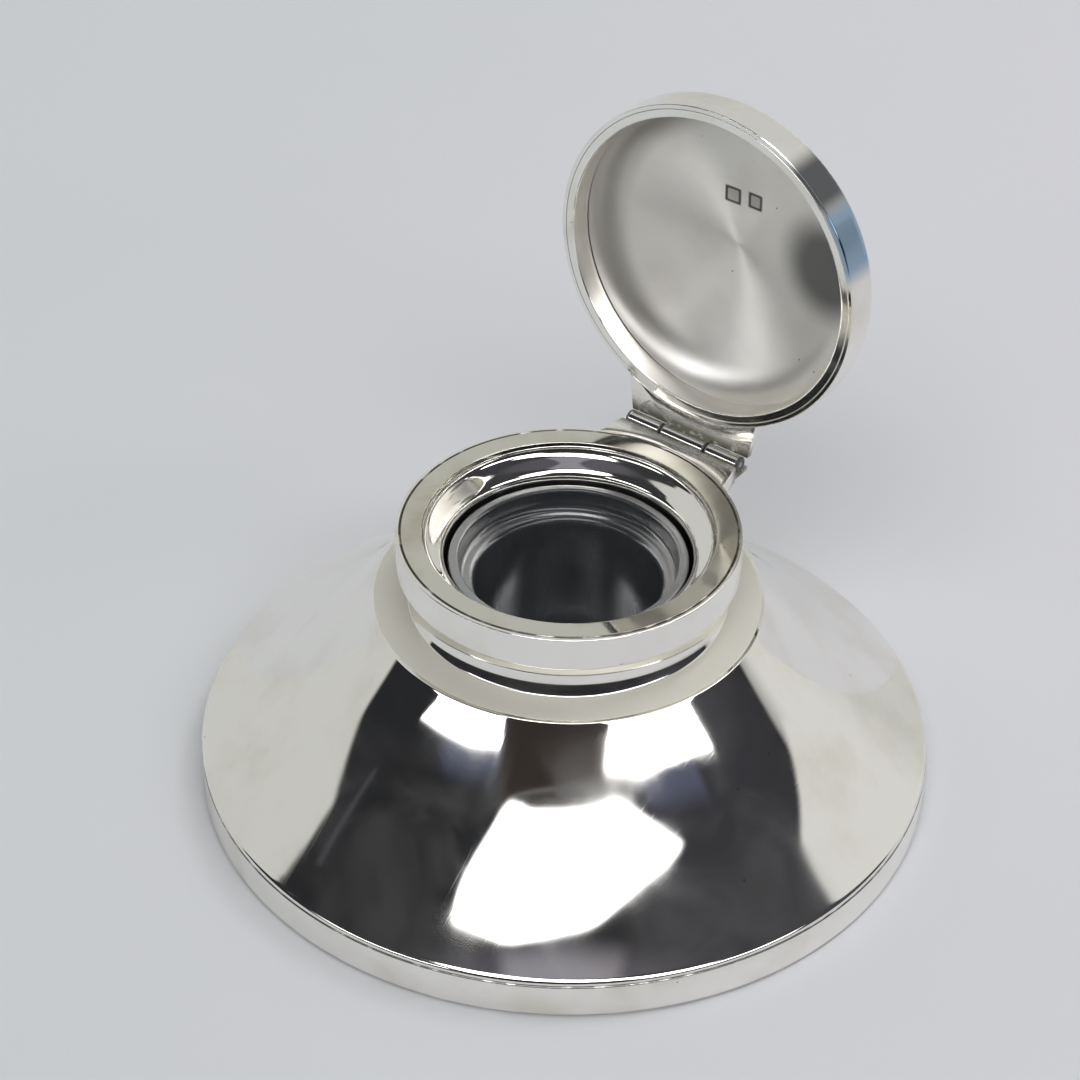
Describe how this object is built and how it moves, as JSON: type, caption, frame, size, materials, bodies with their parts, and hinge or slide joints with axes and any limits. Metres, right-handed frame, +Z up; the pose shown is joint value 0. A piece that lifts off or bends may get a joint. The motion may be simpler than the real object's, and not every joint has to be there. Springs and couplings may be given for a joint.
{
  "type": "desk inkstand",
  "caption": "Capstan-shaped silver desk inkstand with a wide spun base, flanged collar, lift-out glass liner and a hinged domed lid.",
  "frame": {"origin": "centre of the underside, where the cloth pad rests on the desk", "axes": "+Z up, -Y towards the front, +Y towards the hinge; the lid is stored standing open on its stop"},
  "size_m": [0.13, 0.13, 0.1154],
  "materials": {
    "silver_band": "polished silver, lightly rubbed",
    "silver_body": "polished silver with fine polishing scratches",
    "silver_neck": "polished silver",
    "silver_collar": "polished silver, darkened along the seam",
    "silver_hinge": "silver with solder marks and grime in the corners",
    "silver_knuckle": "polished silver",
    "silver_lid": "polished silver outside, satin brushed inside",
    "silver_bezel": "polished silver",
    "pin": "plain steel",
    "pitch": "dark pitch",
    "board": "stained board",
    "cloth": "green baize",
    "liner_glass": "clear pressed glass, dark with old ink inside"
  },
  "bodies": {
    "body": {"foot_band": "silver_band", "body_shell": "silver_body", "neck_ring": "silver_neck", "collar_band": "silver_collar", "collar_top": "silver_collar", "throat_ring": "silver_neck", "pitch_filling": "pitch", "base_board": "board", "cloth_pad": "cloth", "hinge_plate": "silver_hinge", "knuckle_left": "silver_knuckle", "knuckle_right": "silver_knuckle", "hinge_pin": "pin"},
    "lid": {"lid_dome": "silver_lid", "lid_bezel": "silver_bezel", "lid_leaf": "silver_hinge", "knuckle_middle": "silver_knuckle"},
    "liner": {"glass_liner": "liner_glass"}
  },
  "joints": [
    {"name": "lid_hinge", "type": "hinge", "parent": "body", "child": "lid", "pos_m": [0, 0.0349, 0.05042], "axis": [1, 0, 0], "range_deg": [0, 92.9]},
    {"name": "liner_lift", "type": "slide", "parent": "body", "child": "liner", "axis": [0, 0, 1], "range_m": [0, 0.065]}
  ]
}
